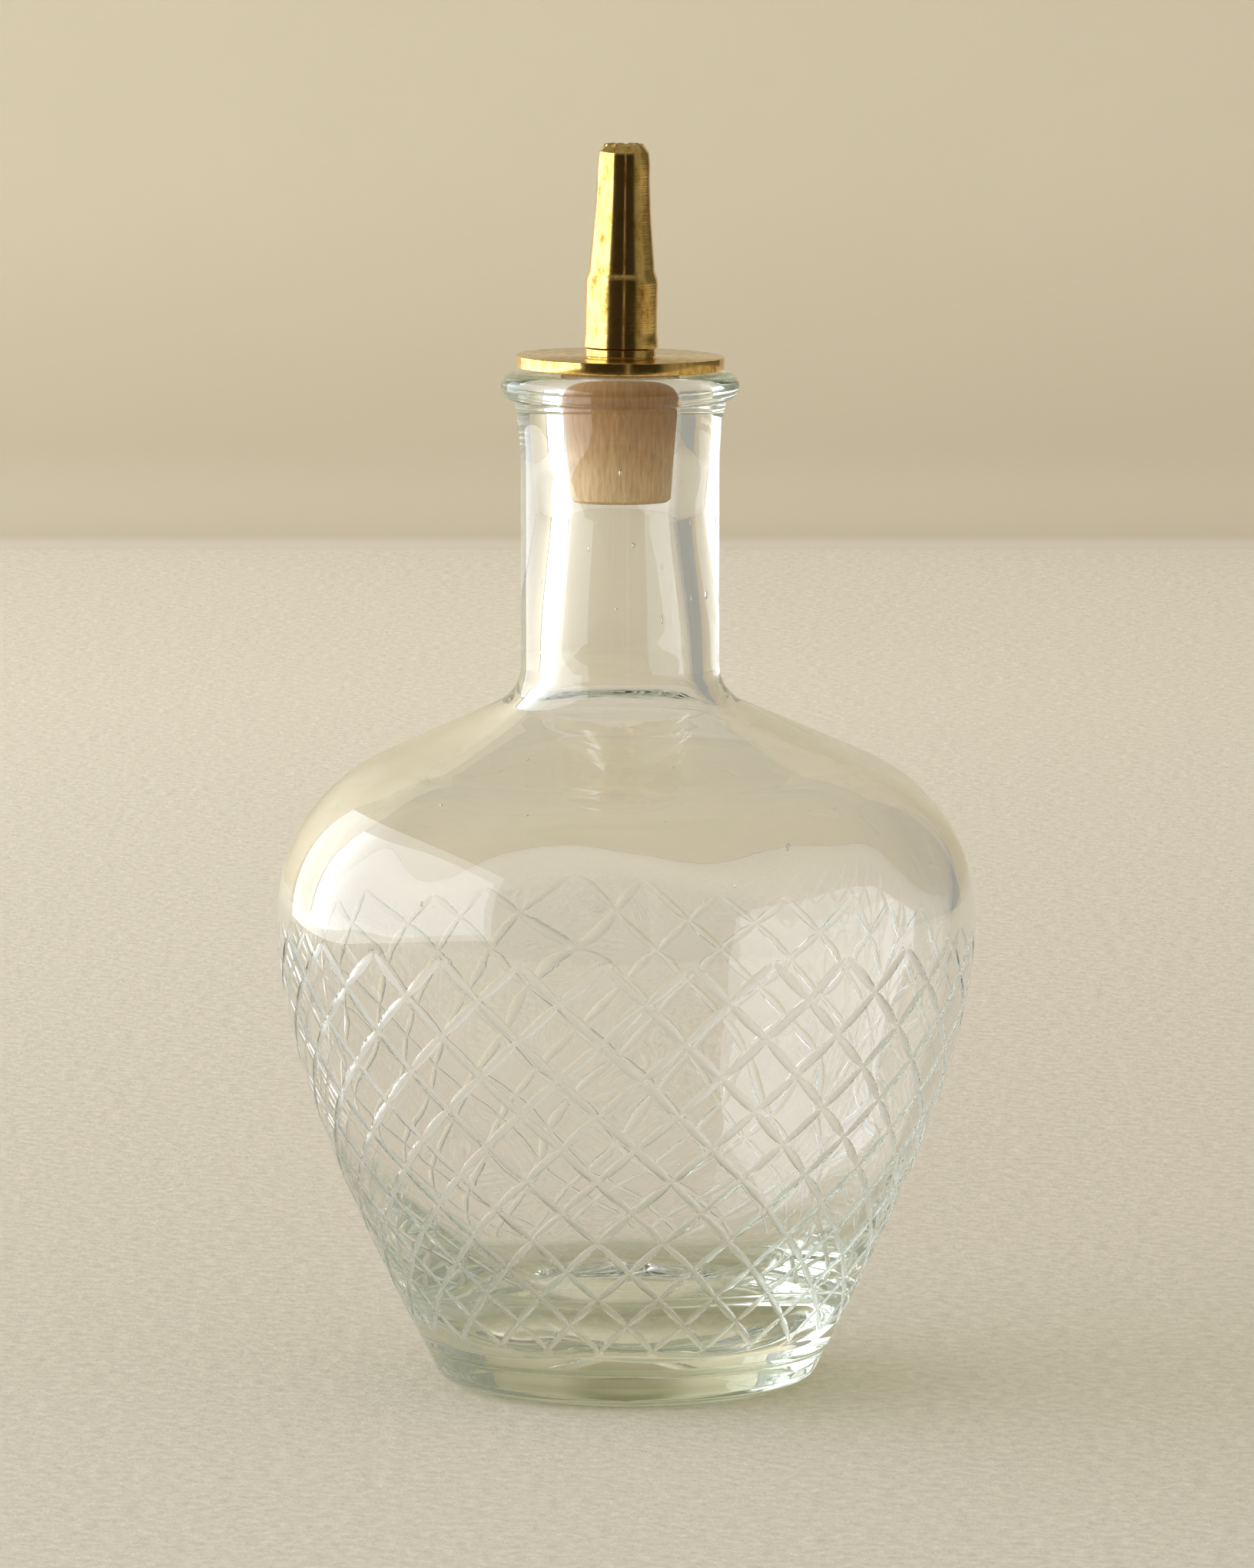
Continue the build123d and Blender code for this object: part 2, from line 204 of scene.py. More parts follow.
# Light: a lamp's strength is the brightness of its face, where 1 is white
GLARE_PLACE = (-0.45, 0.06, 0.245)
GLARE_SIZE = (1.02, 0.47)
GLARE = 2.3
GLARE_TILT = math.radians(-8)
LAMP_PLACE = (-1.1, 0.147, 0.51)
LAMP_SIZE = (2.5, 1.0)
LAMP = 3.32
LAMP_COLOUR = (0.92, 0.98, 1.08)
AMBIENT = (0.64, 0.613, 0.585, 1)
THROUGH_GLASS = (0.62, 0.60, 0.54, 1)
THROUGH_GLASS_SHARE = 0.45
CEILING = (0.30, 0.29, 0.26, 1)
CEILING_THROUGH_GLASS = (0.31, 0.30, 0.225, 1)
CEILING_RISE = (0.45, 0.7)
LIGHT_TURNS = 24

# The dim room round the horizon, in degrees to the right of the camera's side, with one bright slit
ROOM = (
    (-179, (0.30, 0.29, 0.26)),
    (-60, (0.30, 0.29, 0.26)),
    (-44, (0.20, 0.18, 0.14)),
    (-38, (0.04, 0.03, 0.02)),
    (8, (0.025, 0.02, 0.015)),
    (8.5, (0.8, 0.75, 0.65)),
    (9.5, (0.8, 0.75, 0.65)),
    (10, (0.025, 0.02, 0.015)),
    (44, (0.035, 0.03, 0.02)),
    (54, (0.24, 0.22, 0.17)),
    (80, (0.30, 0.28, 0.23)),
    (96, (0.16, 0.15, 0.12)),
    (138, (0.14, 0.13, 0.10)),
    (160, (0.28, 0.27, 0.24)),
    (179, (0.28, 0.27, 0.24)),
)


def clamped(value):
    """A value kept between 0 and 1."""
    return min(1, max(0, value))


def bezier(points, count):
    """Points of a Bezier curve through a control polygon, without its first point."""
    made = []
    for step in range(1, count + 1):
        level = [Vector(p) for p in points]
        while len(level) > 1:
            level = [a.lerp(b, step / count) for a, b in zip(level, level[1:])]
        made.append(tuple(level[0]))
    return made


def arc(centre, height, radius, start, end, count):
    """Points of an arc in degrees up from straight out, without its first point."""
    angles = [math.radians(start + (end - start) * i / count) for i in range(1, count + 1)]
    return [(centre + radius * math.cos(a), height + radius * math.sin(a)) for a in angles]


def straight(start, end, count):
    """Points along a straight stretch, without its first point."""
    return [tuple(Vector(start).lerp(Vector(end), i / count)) for i in range(1, count + 1)]


def side_table():
    """Heights and radii along the side's conic, which leaves the heel at its lean and ends upright."""
    bend_z = HEEL_Z + (BODY_RADIUS - HEEL_RADIUS) / math.tan(SIDE_LEAN)
    share = np.linspace(0, 1, 400)
    weights = np.array([(1 - share) ** 2, 2 * SIDE_FULLNESS * share * (1 - share), share**2])
    heights = weights.T @ np.array([HEEL_Z, bend_z, WIDEST_Z]) / weights.sum(0)
    radii = weights.T @ np.array([HEEL_RADIUS, BODY_RADIUS, BODY_RADIUS]) / weights.sum(0)
    return heights, radii


SIDE_HEIGHTS, SIDE_RADII = side_table()


def side_radius(height):
    """Radius of the glass's side at a height."""
    return float(np.interp(height, SIDE_HEIGHTS, SIDE_RADII))


def side_growth(height):
    """How much the side's radius grows there with each millimetre of height."""
    return (side_radius(height + 1) - side_radius(height - 1)) / 2


def row_height(row):
    """Height of a row of crossings, closer together towards the foot."""
    rise = row / CUT_ROWS
    crowded = rise * (CUT_LOW_ROW_SHARE + (1 - CUT_LOW_ROW_SHARE) * rise)
    return CUT_FOOT_Z + (CUT_TOP_Z - CUT_FOOT_Z) * crowded


def below_cuts():
    """Outline of the outside from the centre of the base to just under the cuts."""
    kick = [(KICK_RADIUS * s, KICK_DEPTH * (1 - s * s)) for s in (0.12, 0.3, 0.5, 0.7, 0.85, 1)]
    points = kick + [(FOOT_RADIUS - FOOT_RING, 0), (FOOT_RADIUS, 0)]
    points += bezier([(FOOT_RADIUS, 0), FOOT_ROUND, (HEEL_RADIUS, HEEL_Z)], 7)
    under_seam = [3.6, 4.2]
    seam = [MOULD_SEAM_Z + MOULD_SEAM_WIDTH * s for s in (-1, -0.5, 0, 0.5, 1)]
    over_seam = [5.6, 6.4, 7.2]
    for height in under_seam + seam + over_seam:
        bump = MOULD_SEAM_HEIGHT * max(0, 1 - abs(height - MOULD_SEAM_Z) / MOULD_SEAM_WIDTH)
        points.append((side_radius(height) + bump, height))
    return points


def above_cuts():
    """Outline of the outside from just over the cuts to the top of the rolled lip."""
    points = [(BODY_RADIUS, WIDEST_Z)]
    lean_degrees = math.degrees(SHOULDER_LEAN)
    centre = BODY_RADIUS - SHOULDER_RADIUS
    points += arc(centre, WIDEST_Z, SHOULDER_RADIUS, 0, lean_degrees, 18)
    slope_radius, slope_z = points[-1]
    top_radius = NECK_RADIUS + NECK_ROOT_RADIUS * (1 - math.cos(SHOULDER_LEAN))
    top_z = slope_z + (slope_radius - top_radius) / math.tan(SHOULDER_LEAN)
    points += straight((slope_radius, slope_z), (top_radius, top_z), 5)
    root_z = top_z + NECK_ROOT_RADIUS * math.sin(SHOULDER_LEAN)
    points += arc(NECK_RADIUS + NECK_ROOT_RADIUS, root_z, -NECK_ROOT_RADIUS, lean_degrees, 0, 8)
    neck_rows = 12
    heights = [root_z + (LIP_FLARE_Z - root_z) * i / neck_rows for i in range(1, neck_rows + 1)]
    points += [(NECK_RADIUS, height) for height in heights]
    flare = [(NECK_RADIUS, LIP_FLARE_Z), (NECK_RADIUS, LIP_FLARE_HANDLE_Z), (BEAD_FOOT_RADIUS, BEAD_FOOT_Z)]
    points += bezier(flare, 8)
    points += arc(BEAD_CENTRE, LIP_TOP_Z - BEAD_RADIUS, BEAD_RADIUS, -82, 90, 14)
    return points


def inside():
    """Outline of the inside from the top of the lip down to the centre of the floor."""
    points = [(radius, LIP_TOP_Z) for radius in LIP_FLAT_RADII]
    points += arc(MOUTH_RADIUS + MOUTH_ROUND, LIP_TOP_Z - MOUTH_ROUND, MOUTH_ROUND, 90, 180, 6)
    points += [(SEAT_RADIUS + wider, height) for height, wider in SEAT_ROWS]
    hollow = NECK_HOLLOW_RADIUS
    seat_foot, hollow_foot = (BORE_RADIUS, SEAT_FOOT_Z), (hollow, BORE_ROOT_Z)
    points += [seat_foot]
    points += bezier([seat_foot, (BORE_RADIUS + 0.1, 102.0), (hollow, 94.0), hollow_foot], 12)
    lean_degrees = math.degrees(SHOULDER_LEAN)
    centre, shoulder = BODY_RADIUS - SHOULDER_RADIUS, SHOULDER_RADIUS - WALL
    slope_foot = arc(centre, WIDEST_Z, shoulder, 0, lean_degrees, 1)[0]
    slope_top_z = slope_foot[1] + (slope_foot[0] - SLOPE_TOP_RADIUS) / math.tan(SHOULDER_LEAN)
    slope_top = (SLOPE_TOP_RADIUS, slope_top_z)
    points += bezier([hollow_foot, (hollow, 85.6), (9.9, slope_top_z + 1.9), slope_top], 12)
    points += straight(slope_top, slope_foot, 5)
    points += arc(centre, WIDEST_Z, shoulder, lean_degrees, 0, 14)
    side_rows = 22
    for i in range(1, side_rows + 1):
        height = WIDEST_Z + (FLOOR_CORNER_Z - WIDEST_Z) * i / side_rows
        points.append((side_radius(height) - WALL * math.hypot(1, side_growth(height)), height))
    corner = points[-1]
    floor = BASE_THICKNESS
    points += bezier([corner, (corner[0] - 5.2, 17.5), (20.5, floor + 0.4), (8.0, floor)], 18)
    points += [(6.0, floor + 0.1), (3.0, floor + 0.2), (1.0, floor + FLOOR_CROWN)]
    return points


class Skin:
    """A closed surface built ring by ring, from the centre of its foot round to its last ring."""

    def __init__(self):
        self.points = []
        self.faces = []
        self.sharp = set()
        self.cut = set()

    def add_ring(self, radius, height):
        """Adds one ring of points; returns their numbers and angles."""
        first = len(self.points)
        angles = [2 * math.pi * i / COLUMNS for i in range(COLUMNS)]
        self.points += [(radius * math.cos(a), radius * math.sin(a), height) for a in angles]
        return list(range(first, first + COLUMNS)), angles

    def bridge(self, low, high):
        """Fills the band between two rings, with quads where they have as many points, else triangles."""
        (a, a_angles), (b, b_angles) = low, high
        if len(a) == len(b):
            for i in range(len(a)):
                j = (i + 1) % len(a)
                self.faces.append((a[i], a[j], b[j], b[i]))
            return
        i = j = 0
        a_turn, b_turn = a_angles + [2 * math.pi], b_angles + [2 * math.pi]
        while i < len(a) or j < len(b):
            here, there = a[i % len(a)], b[j % len(b)]
            if j >= len(b) or (i < len(a) and a_turn[i + 1] < b_turn[j + 1]):
                self.faces.append((here, a[(i + 1) % len(a)], there))
                i += 1
            else:
                self.faces.append((here, b[(j + 1) % len(b)], there))
                j += 1

    def close(self, numbers, centre, top):
        """Closes a ring with a fan to a point on the axis."""
        self.points.append(centre)
        hub = len(self.points) - 1
        for i, here in enumerate(numbers):
            there = numbers[(i + 1) % len(numbers)]
            self.faces.append((here, there, hub) if top else (hub, there, here))

    def rings(self, outline, before=None):
        """Adds rings along an outline, each bridged to the one before; returns the last."""
        for radius, height in outline:
            ring = self.add_ring(radius, height)
            if before:
                self.bridge(before, ring)
            before = ring
        return before


def chance_of_cuts():
    """How strongly each cell is cut and how far each crossing strays, at random, by row and column."""
    strength, strays = {}, {}
    for row in range(CUT_ROWS + 1):
        free = 0 < row < CUT_ROWS
        for column in range(2 * CUTS_EACH_WAY):
            strength[row, column] = 1 + random.uniform(-CUT_DEPTH_SPREAD, CUT_DEPTH_SPREAD)
            strays[row, column] = [random.uniform(-CUT_WANDER, CUT_WANDER) * free for _ in range(2)]
    return strength, strays


def on_a_cut(line, column, i):
    """Whether a point of the lattice is on a crossing, or on the diagonal of its cell."""
    if i == 0:
        return line % CUT_STEPS == 0 and (line // CUT_STEPS + column) % 2 == 0
    band = min(line // CUT_STEPS, CUT_ROWS - 1)
    j = line - band * CUT_STEPS
    rising = (band + column) % 2 == 0
    return i == j if rising else i + j == CUT_STEPS


def lattice_faces(skin, lines):
    """Fills the cut band between its lines of points, with the edges beside each cut kept sharp."""
    across = len(lines[0])
    for line, (low, high) in enumerate(zip(lines, lines[1:])):
        band, j = divmod(line, CUT_STEPS)
        for k in range(across):
            column, i = divmod(k, CUT_STEPS)
            n = (k + 1) % across
            if (band + column) % 2 == 0:
                skin.faces += [(low[k], low[n], high[n]), (low[k], high[n], high[k])]
                edge, from_cut = (low[k], high[n]), i - j
            else:
                skin.faces += [(low[k], low[n], high[k]), (low[n], high[n], high[k])]
                edge, from_cut = (low[n], high[k]), i + 1 + j - CUT_STEPS
            if abs(from_cut) == 1:
                skin.sharp.add((min(edge), max(edge)))


def cut_lattice(skin, before):
    """Adds the cut band: cells between crossings, each with a cut along its diagonal; returns its last ring.

    The lines of a cell crowd together near its corners, so the strip beside the diagonal,
    which is one line wide, is broad half way and pinched at the crossings.
    """
    steps, columns, even = CUT_STEPS, 2 * CUTS_EACH_WAY, CUT_PINCH_SHARE
    places = [i / steps for i in range(steps + 1)]
    spread = [even * t + (1 - even) * (1 - math.cos(math.pi * t)) / 2 for t in places]
    widths = [even + (1 - even) * math.pi / 2 * math.sin(math.pi * t) for t in places]
    strength, strays = chance_of_cuts()
    last_line = CUT_ROWS * steps
    fade_lines = steps * CUT_FADE_ROWS
    lines = []
    for line in range(last_line + 1):
        band = min(line // steps, CUT_ROWS - 1)
        j = line - band * steps
        up = spread[j]
        z_low, z_high = row_height(band), row_height(band + 1)
        fade = min(1, line / fade_lines, (last_line - line) / fade_lines)
        numbers, angles = [], []
        for column in range(columns):
            corners = [strays[band + r, (column + c) % columns] for r in (0, 1) for c in (0, 1)]
            for i in range(steps):
                along = spread[i]
                shares = [(1 - up) * (1 - along), (1 - up) * along, up * (1 - along), up * along]
                aside, higher = [sum(s * c[k] for s, c in zip(shares, corners)) for k in (0, 1)]
                z = z_low + (z_high - z_low) * up + higher
                radius = side_radius(z)
                angle = (column + along) * math.pi / CUTS_EACH_WAY + aside / radius
                angle += CUT_DRIFT * (z - CUT_FOOT_Z) / (CUT_TOP_Z - CUT_FOOT_Z)
                depth = 0.0
                if on_a_cut(line, column, i):
                    swell = 1 if i == 0 else strength[band, column]
                    width = even + swell * (widths[j] - even)
                    depth = CUT_DEPTH * width / max(widths) * fade
                growth = side_growth(z)
                size = math.hypot(1, growth)
                radius -= depth / size
                z += depth * growth / size
                if depth:
                    skin.cut.add(len(skin.points))
                numbers.append(len(skin.points))
                angles.append(angle)
                skin.points.append((radius * math.cos(angle), radius * math.sin(angle), z))
        lines.append((numbers, angles))
    lattice_faces(skin, [numbers for numbers, _ in lines])
    skin.bridge(before, lines[0])
    return lines[-1]


def waver(point, amount, size, stretch=1, key=0):
    """A smooth wavering in millimetres at a point, drawn out along the axis by stretch."""
    x, y, z = point
    return amount * noise.noise(Vector((x / size + key, y / size, z / (size * stretch))))


def blown(points, first_inside):
    """Moves the points as hand-blown glass departs from a turned form: a leaning body and a wavy inside."""
    moved = []
    for number, (x, y, z) in enumerate(points):
        radius = math.hypot(x, y)
        drop = clamped((BODY_SHIFT_Z - z) / BODY_SHIFT_RUN)
        shift = BODY_SHIFT * drop * drop * (3 - 2 * drop)
        swell = waver((x, y, z), 0.07, 16, stretch=1.5, key=3)
        if number >= first_inside and z < LIP_TOP_Z - 2:
            in_neck = clamped((z - NECK_FOOT_Z) / 6)
            calm = 1 - 0.6 * clamped(1 - abs(z - NECK_FOOT_Z) / 10)
            amount = (WALL_WAVER + (NECK_WAVER - WALL_WAVER) * in_neck) * calm
            swell += waver((x, y, z), amount, 14 - 5 * in_neck, stretch=1 + 9 * in_neck, key=7)
            swell += waver((x, y, z), 0.12 * in_neck, 8, stretch=3, key=5)
        if z < 2 or radius < 1:
            swell = 0
        scale = (radius + swell) / radius if radius else 1
        sag = 0
        if number >= first_inside and z < FLOOR_CORNER_Z:
            sag = waver((x, y, 0), FLOOR_WAVER, 11, key=13) * (1 - z / FLOOR_CORNER_Z)
        moved.append((x * scale + shift, y * scale, z + sag))
    return moved


def smooth_mesh(name, points, faces, sharp=()):
    """A smooth-shaded mesh object from points in millimetres, with the sharp edges marked."""
    mesh = bpy.data.meshes.new(name)
    mesh.from_pydata([(x * MM, y * MM, z * MM) for x, y, z in points], [], faces)
    mesh.polygons.foreach_set("use_smooth", [True] * len(mesh.polygons))
    if sharp:
        ends = np.zeros(len(mesh.edges) * 2, np.int64)
        mesh.edges.foreach_get("vertices", ends)
        ends = np.sort(ends.reshape(-1, 2), axis=1)
        many = len(points)
        keys = ends[:, 0] * many + ends[:, 1]
        wanted = np.array([a * many + b for a, b in sharp])
        marks = mesh.attributes.new("sharp_edge", "BOOLEAN", "EDGE")
        marks.data.foreach_set("value", np.isin(keys, wanted))
    mesh.update()
    thing = bpy.data.objects.new(name, mesh)
    bpy.context.scene.collection.objects.link(thing)
    return thing


def bubble_place():
    """A random place half way through the wall of the side, the shoulder or the neck."""
    height = random.choice([random.uniform(low, high) for low, high in BUBBLE_BANDS])
    if height > BORE_ROOT_Z:
        middle = (NECK_RADIUS + BORE_RADIUS) / 2
    elif height > WIDEST_Z:
        centre = BODY_RADIUS - SHOULDER_RADIUS
        middle = centre + math.sqrt((SHOULDER_RADIUS - WALL / 2) ** 2 - (height - WIDEST_Z) ** 2)
    else:
        middle = side_radius(height) - WALL * 0.62
    turn = random.uniform(0, 2 * math.pi)
    return Vector((middle * math.cos(turn), middle * math.sin(turn), height))


def seed_bubbles(skin):
    """Small drawn-out air bubbles in the walls, as closed pockets that face inwards."""
    rings, columns = 5, 8
    for _ in range(BUBBLES):
        centre = bubble_place()
        size = random.uniform(*BUBBLE_SIZES)
        length = size * random.uniform(*BUBBLE_STRETCHES)
        first = len(skin.points)
        for ring in range(1, rings + 1):
            up = math.pi * ring / (rings + 1)
            flat = size * math.sin(up)
            for column in range(columns):
                around = 2 * math.pi * column / columns
                offset = Vector((flat * math.cos(around), flat * math.sin(around), -length * math.cos(up)))
                skin.points.append(tuple(centre + offset))
        skin.points.append(tuple(centre - Vector((0, 0, length))))
        skin.points.append(tuple(centre + Vector((0, 0, length))))
        low, high = len(skin.points) - 2, len(skin.points) - 1
        last = first + (rings - 1) * columns
        for column in range(columns):
            there = (column + 1) % columns
            skin.faces.append((first + there, first + column, low))
            skin.faces.append((last + column, last + there, high))
            for ring in range(rings - 1):
                a, b = first + ring * columns, first + (ring + 1) * columns
                skin.faces.append((b + column, b + there, a + there, a + column))


def make_glass():
    """The bottle: base, cut side, shoulder, neck and lip outside, and the wavy hollow inside."""
    skin = Skin()
    before = skin.rings(below_cuts())
    skin.close(range(COLUMNS), (0, 0, KICK_DEPTH), top=False)
    before = cut_lattice(skin, before)
    before = skin.rings(above_cuts(), before)
    first_inside = len(skin.points)
    numbers, _ = skin.rings(inside(), before)
    skin.close(numbers, (0, 0, BASE_THICKNESS + FLOOR_CROWN), top=True)
    wall_points = len(skin.points)
    seed_bubbles(skin)
    points = blown(skin.points[:wall_points], first_inside) + skin.points[wall_points:]
    glass = smooth_mesh("glass_bottle", points, skin.faces, skin.sharp)
    ground = glass.data.attributes.new(GROUND, "FLOAT", "POINT")
    ground.data.foreach_set("value", [float(i in skin.cut) for i in range(len(points))])
    return glass


def turned_piece(name, outline, count, roughen=None):
    """A closed piece turned from a closed outline, smooth within each facet."""
    points, faces = [], []
    rings = len(outline)
    for radius, height in outline:
        for column in range(count):
            angle = 2 * math.pi * column / count
            x, y, z = radius * math.cos(angle), radius * math.sin(angle), height
            if roughen:
                x, y, z = roughen(x, y, z)
            points.append((x, y, z))
    for ring in range(rings):
        a, b = ring * count, (ring + 1) % rings * count
        for column in range(count):
            there = (column + 1) % count
            faces.append((a + column, a + there, b + there, b + column))
    thing = smooth_mesh(name, points, faces)
    with_sharp_edges(thing, SHARP_FROM_DEGREES)
    return thing


def with_sharp_edges(thing, degrees):
    """Marks the edges sharper than an angle, so that flat faces stay flat beside round ones."""
    shape = bmesh.new()
    shape.from_mesh(thing.data)
    for edge in shape.edges:
        edge.smooth = len(edge.link_faces) == 2 and edge.calc_face_angle() < math.radians(degrees)
    shape.to_mesh(thing.data)
    shape.free()


def rounded(corners, size):
    """A closed outline with its corners rounded by a small arc-like curve."""
    made = []
    for i, corner in enumerate(corners):
        before, after = Vector(corners[i - 1]), Vector(corners[(i + 1) % len(corners)])
        here = Vector(corner)
        reach = min(size, (before - here).length * 0.4, (after - here).length * 0.4)
        start = here + (before - here).normalized() * reach
        end = here + (after - here).normalized() * reach
        made.append(tuple(start))
        made += bezier([start, here, end], 3)
    return made


def lean(thing, degrees, height):
    """Tilts a piece's mesh to the right about a height on the axis."""
    about = Matrix.Translation((0, 0, height * MM))
    thing.data.transform(about @ Matrix.Rotation(math.radians(degrees), 4, "Y") @ about.inverted())


def make_flange():
    """The brass disc, its hub and the nipple inside the spout, with a socket for the tube below."""
    edge, hub, nipple, bore, socket = 12.5, 4.25, 3.0, 2.0, 2.53
    nipple_top = HUB_TOP_Z + 3.4
    socket_top = FLANGE_Z + 1.63
    corners = [
        (socket, FLANGE_Z),
        (edge, FLANGE_Z),
        (edge, FLANGE_TOP_Z),
        (hub, FLANGE_TOP_Z),
        (hub, HUB_TOP_Z),
        (nipple, HUB_TOP_Z),
        (nipple, nipple_top),
        (bore, nipple_top),
        (bore, socket_top),
        (socket, socket_top),
    ]
    flange = turned_piece("brass_flange", rounded(corners, EDGE_ROUND), DISC_COLUMNS)
    lean(flange, DASHER_LEAN_DEGREES, FLANGE_Z)
    return flange


def ragged(x, y, z):
    """Roughens the rim of the spout's tip, as a parted and filed end is."""
    depth, from_axis, run = 0.5, 1.2, 0.6
    near = clamped((z - SPOUT_TIP_Z + depth) / depth) * clamped((math.hypot(x, y) - from_axis) / run)
    coarse, fine = Vector((x * 1.7, y * 1.7, z)), Vector((x * 4, y * 4, z * 2))
    rough = noise.noise(coarse) * 0.5 + noise.noise(fine) * 0.5
    swell = 1 + 0.09 * near * rough
    return x * swell, y * swell, z + 0.26 * near * rough - 0.05 * near


def make_spout():
    """The spout: foot, barrel, soft step, hollow-sided cone, nose, bevelled tip and the bore inside.

    It leans more than the flange does, so a small clearance keeps its foot off the hub as it turns.
    """
    foot, barrel, cone, nose, bevel = 4.475, 4.35, 3.925, 3.19, 3.02
    orifice, bore, thread = 0.85, 2.0, 3.3
    foot_z = SPOUT_Z + TURNING_CLEARANCE
    foot_top_z, barrel_z = SPOUT_Z + 0.9, SPOUT_Z + 2.2
    step_z, cone_z, nose_z, bevel_z = 133.1, 134.9, 145.9, 148.7
    outside = [(foot, foot_z), (foot, foot_top_z)]
    outside += bezier([(foot, foot_top_z), (barrel, SPOUT_Z + 1.3), (barrel, barrel_z)], 4)
    outside += [(barrel, step_z)]
    outside += bezier([(barrel, step_z), (barrel, 133.9), (cone, 134.1), (cone, cone_z)], 8)
    outside += bezier([(cone, cone_z), (3.62, 138.4), (nose + 0.02, 142.6), (nose, nose_z)], 14)
    outside += bezier([(nose, nose_z), (nose, 147.6), (bevel, bevel_z)], 5)
    outside += [(2.97, 148.78), (2.75, 149.08), (2.5, 149.45), (2.33, 149.66), (2.2, SPOUT_TIP_Z)]
    outside += [(1.8, SPOUT_TIP_Z), (1.3, SPOUT_TIP_Z - 0.1), (orifice, SPOUT_TIP_Z - 0.4)]
    hollow = [(orifice, 148.1), (bore, 146.9), (bore, 130.2), (thread, 129.9), (thread, foot_z)]
    spout = turned_piece("brass_spout", outside + hollow, SPOUT_COLUMNS, ragged)
    lean(spout, SPOUT_LEAN_DEGREES, FLANGE_Z)
    return spout


def new_material(name):
    """A material with its Principled shader; returns the material, its node tree and the shader."""
    material = bpy.data.materials.new(name)
    material.use_nodes = True
    tree = material.node_tree
    return material, tree, tree.nodes["Principled BSDF"]


def add_node(tree, kind, **settings):
    """Adds a node; settings with an in_ prefix set its input sockets by name."""
    made = tree.nodes.new(kind)
    for key, value in settings.items():
        if key.startswith("in_"):
            made.inputs[key[3:].replace("_", " ")].default_value = value
        else:
            setattr(made, key, value)
    return made


def blend(tree, first, second, share):
    """Mixes two colours, each a socket or a value, by a share, a socket or a value."""
    mix = add_node(tree, "ShaderNodeMix", data_type="RGBA")
    for socket, wanted in (("A", first), ("B", second), ("Factor", share)):
        if isinstance(wanted, bpy.types.NodeSocket):
            tree.links.new(wanted, mix.inputs[socket])
        else:
            mix.inputs[socket].default_value = wanted
    return mix.outputs["Result"]


def linear(red, green, blue):
    """A colour read off a picture, 0 to 255, as the linear colour that a shader takes."""
    values = [c / 255 for c in (red, green, blue)]
    return tuple(c / 12.92 if c <= 0.04045 else ((c + 0.055) / 1.055) ** 2.4 for c in values) + (1,)


def mapped(tree, value, low, high, first=0, last=1, kind="LINEAR"):
    """A socket that maps a value between low and high onto first to last."""
    made = add_node(tree, "ShaderNodeMapRange", interpolation_type=kind)
    limits = (("From Min", low), ("From Max", high), ("To Min", first), ("To Max", last))
    for name, limit in limits:
        made.inputs[name].default_value = limit
    tree.links.new(value, made.inputs["Value"])
    return made.outputs[0]


def combined(tree, operation, first, second):
    """A socket with the outcome of a calculation with two values, each a socket or a number."""
    made = add_node(tree, "ShaderNodeMath", operation=operation)
    for socket, wanted in zip(made.inputs, (first, second)):
        if isinstance(wanted, bpy.types.NodeSocket):
            tree.links.new(wanted, socket)
        else:
            socket.default_value = wanted
    return made.outputs[0]


def place_part(tree, part, kind="Object"):
    """A socket with one part, X, Y or Z, of the place on a piece, or of a direction in the room."""
    place = add_node(tree, "ShaderNodeTexCoord")
    parts = add_node(tree, "ShaderNodeSeparateXYZ")
    tree.links.new(place.outputs[kind], parts.inputs[0])
    return parts.outputs[part]


def distance_out(tree):
    """A socket with the distance in metres from the piece's origin."""
    place = add_node(tree, "ShaderNodeTexCoord")
    away = add_node(tree, "ShaderNodeVectorMath", operation="LENGTH")
    tree.links.new(place.outputs["Object"], away.inputs[0])
    return away.outputs["Value"]


def height_share(tree, low, high):
    """A socket that runs from 0 to 1 between two heights in metres."""
    return mapped(tree, place_part(tree, "Z"), low, high, kind="SMOOTHSTEP")


def mixed_shader(tree, share, first, second):
    """Puts a mix of two shaders on the surface, by a share."""
    mix = add_node(tree, "ShaderNodeMixShader")
    tree.links.new(share, mix.inputs[0])
    tree.links.new(first.outputs[0], mix.inputs[1])
    tree.links.new(second.outputs[0], mix.inputs[2])
    tree.links.new(mix.outputs[0], tree.nodes["Material Output"].inputs["Surface"])


